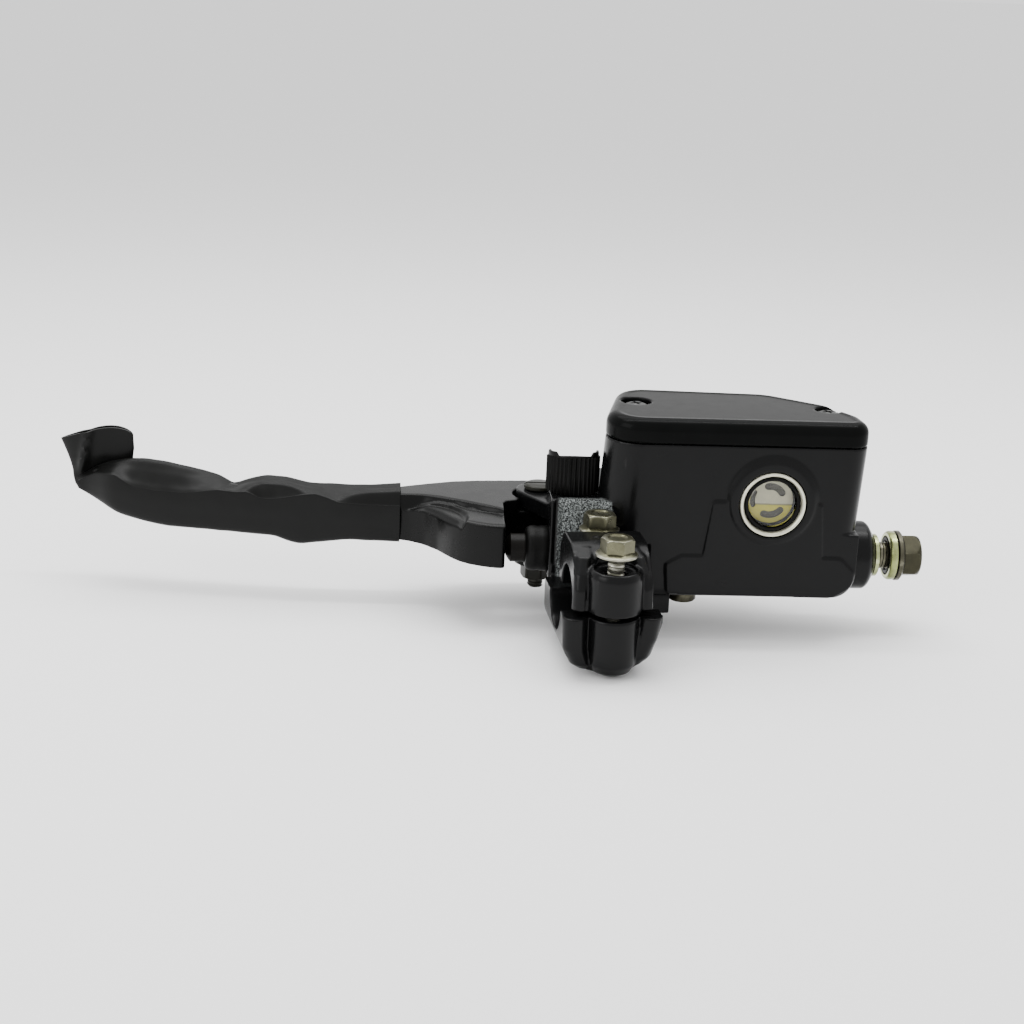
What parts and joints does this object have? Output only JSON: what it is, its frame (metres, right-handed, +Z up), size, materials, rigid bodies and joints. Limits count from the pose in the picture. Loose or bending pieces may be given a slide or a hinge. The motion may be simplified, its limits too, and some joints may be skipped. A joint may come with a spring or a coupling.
{
  "type": "motorcycle brake master cylinder",
  "caption": "Handlebar brake master cylinder with fluid reservoir, sight glass, bar clamp, banjo outlet and a sleeved lever on a vertical pivot.",
  "frame": {"origin": "the handlebar's axis, in the middle of the clamp", "axes": "+X along the cylinder bore towards the hose outlet, +Y away from the rider, +Z up towards the lid"},
  "size_m": [0.3152, 0.1059, 0.0798],
  "materials": {
    "black_paint": "satin to gloss black paint over a casting",
    "lid_black": "satin black",
    "lever_gloss_black": "gloss black paint",
    "sleeve_vinyl": "matt soft black vinyl",
    "black_rubber": "matt rubber",
    "olive_zinc": "olive passivated zinc, slightly dull",
    "yellow_zinc": "pale yellow-green zinc",
    "cream_zinc": "pale cream zinc",
    "clear_glass": "clear polished",
    "backing_plate": "pale beige with the fluid in front of its lower half",
    "black_plastic": "moulded",
    "alloy": "machined",
    "brass": "plain",
    "black_steel": "blackened steel",
    "spring_steel": "plain"
  },
  "bodies": {
    "cylinder": {"master_cylinder_body": "black_paint", "clamp_cap": "black_paint", "reservoir_lid": "lid_black", "dust_boot": "black_rubber", "mirror_boss_cap": "black_rubber", "diaphragm": "black_rubber", "sight_glass_seal": "black_rubber", "banjo_seal_inner": "black_rubber", "banjo_seal_outer": "black_rubber", "diaphragm_plate": "black_plastic", "brake_switch_body": "black_plastic", "sight_glass_ring": "cream_zinc", "sight_glass_lens": "clear_glass", "sight_glass_backing": "backing_plate", "banjo_bolt": "olive_zinc", "clamp_bolt_near": "olive_zinc", "clamp_bolt_far": "olive_zinc", "port_baffle": "spring_steel", "barrel_plug": "olive_zinc", "pivot_bolt": "olive_zinc", "pivot_nut": "olive_zinc", "lid_screw_left": "black_steel", "lid_screw_right": "black_steel", "switch_screw": "olive_zinc", "banjo_washer_inner": "yellow_zinc", "banjo_washer_outer": "yellow_zinc", "switch_terminal_upper": "brass", "switch_terminal_lower": "brass", "stop_washer": "spring_steel", "circlip": "spring_steel", "return_spring": "spring_steel"},
    "lever": {"brake_lever": "lever_gloss_black", "lever_sleeve": "sleeve_vinyl", "lever_bush": "brass"},
    "piston": {"piston": "alloy", "push_piece": "black_steel", "primary_cup": "black_rubber", "secondary_cup": "black_rubber", "spring_seat": "spring_steel"},
    "switch_plunger": {"switch_plunger": "brass"}
  },
  "joints": [
    {"name": "lever_pivot", "type": "hinge", "parent": "cylinder", "child": "lever", "pos_m": [-0.0193, 0.059, 0.0078], "axis": [0, 0, 1], "range_deg": [0, 18], "stiffness_Nm_per_rad": 1.5, "springref_deg": -20.05},
    {"name": "piston_slide", "type": "slide", "parent": "cylinder", "child": "piston", "axis": [1, 0, 0], "range_m": [0, 0.0078], "deforming": ["return_spring", "dust_boot"]},
    {"name": "plunger_slide", "type": "slide", "parent": "cylinder", "child": "switch_plunger", "axis": [-1, 0, 0], "range_m": [0, 0.0048]}
  ],
  "couplings": [
    {"joint": "piston_slide", "follows": "lever_pivot", "m_per_rad": 0.023},
    {"joint": "plunger_slide", "follows": "lever_pivot", "m_per_rad": 0.0138}
  ]
}
